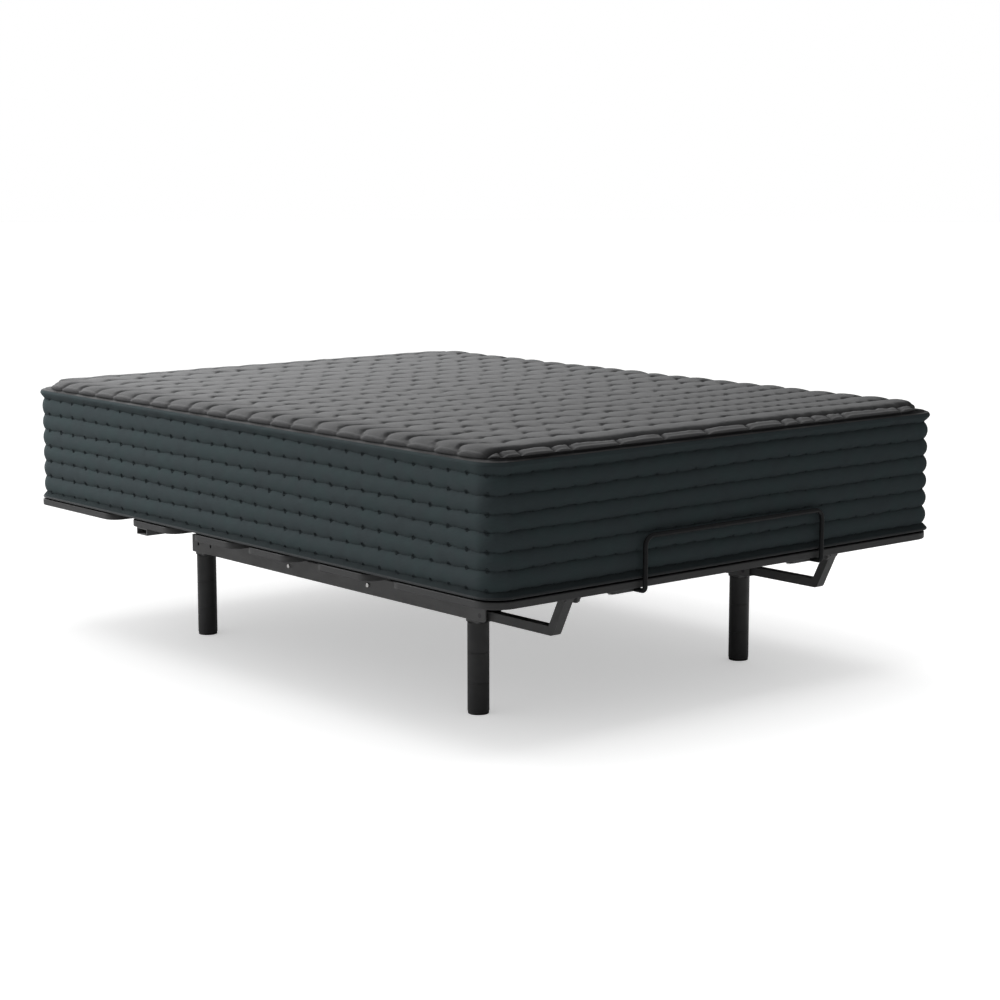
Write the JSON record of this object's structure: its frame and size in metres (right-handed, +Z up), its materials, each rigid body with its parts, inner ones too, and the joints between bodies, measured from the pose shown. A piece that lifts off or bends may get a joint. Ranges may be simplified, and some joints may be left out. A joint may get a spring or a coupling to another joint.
{
  "type": "adjustable bed base with mattress",
  "caption": "Powered bed base with hinged back, thigh and foot sections on a two-rail frame with screw-on legs, carrying its quilted mattress behind a foot retainer bar.",
  "frame": {"origin": "on the floor, under the middle of the bed's bounding box", "axes": "+Z up, +Y towards the head end, +X to the right seen from the foot end"},
  "size_m": [1.514, 2.041, 0.716],
  "materials": {
    "rail_paint": "satin graphite powder coat",
    "dark_paint": "satin black powder coat",
    "leg_black": "black powder coat",
    "pad_rubber": "black rubber",
    "panel_board": "dark grey faced board",
    "zinc": "zinc plated",
    "bar_black": "black enamel",
    "case_plastic": "textured black plastic",
    "nylon": "natural nylon",
    "rod_chrome": "chromed",
    "motor_steel": "plated steel",
    "board_green": "circuit board",
    "mattress_fabric": "quilted grey knit top with slate border"
  },
  "bodies": {
    "frame": {"side_rail_left": "rail_paint", "side_rail_right": "rail_paint", "cross_rails": "rail_paint", "tie_rails": "rail_paint", "frame_bolts": "zinc", "rail_end_caps": "case_plastic", "leg_plates": "rail_paint", "leg_segments": "leg_black", "leg_pads": "pad_rubber", "leg_studs": "zinc", "seat_panel": "panel_board", "hinge_plates": "rail_paint", "frame_pivot_pins": "dark_paint", "lift_pivot_studs": "zinc", "control_box": "case_plastic", "control_board": "board_green", "power_supply": "case_plastic", "actuator_brackets": "dark_paint", "mattress_seat": "mattress_fabric"},
    "back": {"back_panel_head": "panel_board", "back_panel_lumbar": "panel_board", "back_frame": "rail_paint", "back_outriggers": "rail_paint", "mattress_back": "mattress_fabric"},
    "thigh": {"thigh_panel": "panel_board", "thigh_frame": "rail_paint", "knee_pins": "dark_paint", "mattress_thigh": "mattress_fabric"},
    "foot": {"calf_panel": "panel_board", "foot_panel": "panel_board", "foot_frame": "rail_paint", "foot_frame_plates": "rail_paint", "retainer_bar": "bar_black", "retainer_brackets": "dark_paint", "retainer_bolts": "zinc", "mattress_foot": "mattress_fabric"},
    "foot_links": {"foot_link_left": "rail_paint", "foot_link_right": "rail_paint", "link_upper_pins": "dark_paint"},
    "head_lift": {"head_lift_tube": "dark_paint", "head_lift_arms": "dark_paint", "head_lift_pins": "zinc"},
    "head_rollers": {"head_rollers": "nylon"},
    "foot_lift": {"foot_lift_tube": "dark_paint", "foot_lift_arms": "dark_paint", "foot_lift_pins": "zinc"},
    "foot_rollers": {"foot_rollers": "nylon"},
    "head_actuator": {"head_actuator_housing": "case_plastic", "head_actuator_tail_eye": "motor_steel", "head_actuator_motor": "motor_steel", "head_actuator_tube": "motor_steel", "head_actuator_screw": "motor_steel"},
    "head_rod": {"head_actuator_rod": "rod_chrome"},
    "foot_actuator": {"foot_actuator_housing": "case_plastic", "foot_actuator_tail_eye": "motor_steel", "foot_actuator_motor": "motor_steel", "foot_actuator_tube": "motor_steel", "foot_actuator_screw": "motor_steel"},
    "foot_rod": {"foot_actuator_rod": "rod_chrome"}
  },
  "joints": [
    {"name": "back_lift", "type": "hinge", "parent": "frame", "child": "back", "pos_m": [0, 0.2685, 0.344], "axis": [1, 0, 0], "range_deg": [0, 60], "deforming": ["mattress_back", "mattress_seat"]},
    {"name": "thigh_lift", "type": "hinge", "parent": "frame", "child": "thigh", "pos_m": [0, -0.0015, 0.344], "axis": [-1, 0, 0], "range_deg": [0, 40], "deforming": ["mattress_thigh", "mattress_foot"]},
    {"name": "knee", "type": "hinge", "parent": "thigh", "child": "foot", "pos_m": [0, -0.2735, 0.344], "axis": [-1, 0, 0], "range_deg": [-46, 0]},
    {"name": "foot_link_pivot", "type": "hinge", "parent": "frame", "child": "foot_links", "pos_m": [0, -0.6265, 0.251], "axis": [-1, 0, 0], "range_deg": [0, 27]},
    {"name": "head_lift_turn", "type": "hinge", "parent": "frame", "child": "head_lift", "pos_m": [0, 0.2135, 0.262], "axis": [1, 0, 0], "range_deg": [0, 43]},
    {"name": "head_roller_spin", "type": "hinge", "parent": "head_lift", "child": "head_rollers", "pos_m": [0, 0.49686, 0.3135], "axis": [1, 0, 0], "continuous": true},
    {"name": "head_actuator_tilt", "type": "hinge", "parent": "frame", "child": "head_actuator", "pos_m": [0.08, -0.3915, 0.24], "axis": [1, 0, 0], "range_deg": [0, 2.1]},
    {"name": "head_actuator_stroke", "type": "slide", "parent": "head_actuator", "child": "head_rod", "axis": [0, 0.9937, -0.1123], "range_m": [0, 0.064]},
    {"name": "foot_lift_turn", "type": "hinge", "parent": "frame", "child": "foot_lift", "pos_m": [0, 0.0685, 0.262], "axis": [-1, 0, 0], "range_deg": [0, 28]},
    {"name": "foot_roller_spin", "type": "hinge", "parent": "foot_lift", "child": "foot_rollers", "pos_m": [0, -0.21689, 0.3135], "axis": [1, 0, 0], "continuous": true},
    {"name": "foot_actuator_tilt", "type": "hinge", "parent": "frame", "child": "foot_actuator", "pos_m": [-0.08, 0.5235, 0.235], "axis": [-1, 0, 0], "range_deg": [0, 1.4]},
    {"name": "foot_actuator_stroke", "type": "slide", "parent": "foot_actuator", "child": "foot_rod", "axis": [0, -0.9903, -0.1389], "range_m": [0, 0.043]}
  ],
  "couplings": [
    {"joint": "knee", "follows": "thigh_lift", "ratio": -1.1295},
    {"joint": "foot_link_pivot", "follows": "thigh_lift", "ratio": 0.6561},
    {"joint": "foot_lift_turn", "follows": "thigh_lift", "ratio": 0.68162},
    {"joint": "foot_actuator_tilt", "follows": "thigh_lift", "ratio": 0.025217},
    {"joint": "foot_actuator_stroke", "follows": "thigh_lift", "m_per_rad": 0.059632},
    {"joint": "head_lift_turn", "follows": "back_lift", "ratio": 0.70486},
    {"joint": "head_actuator_tilt", "follows": "back_lift", "ratio": 0.028609},
    {"joint": "head_actuator_stroke", "follows": "back_lift", "m_per_rad": 0.059386}
  ]
}
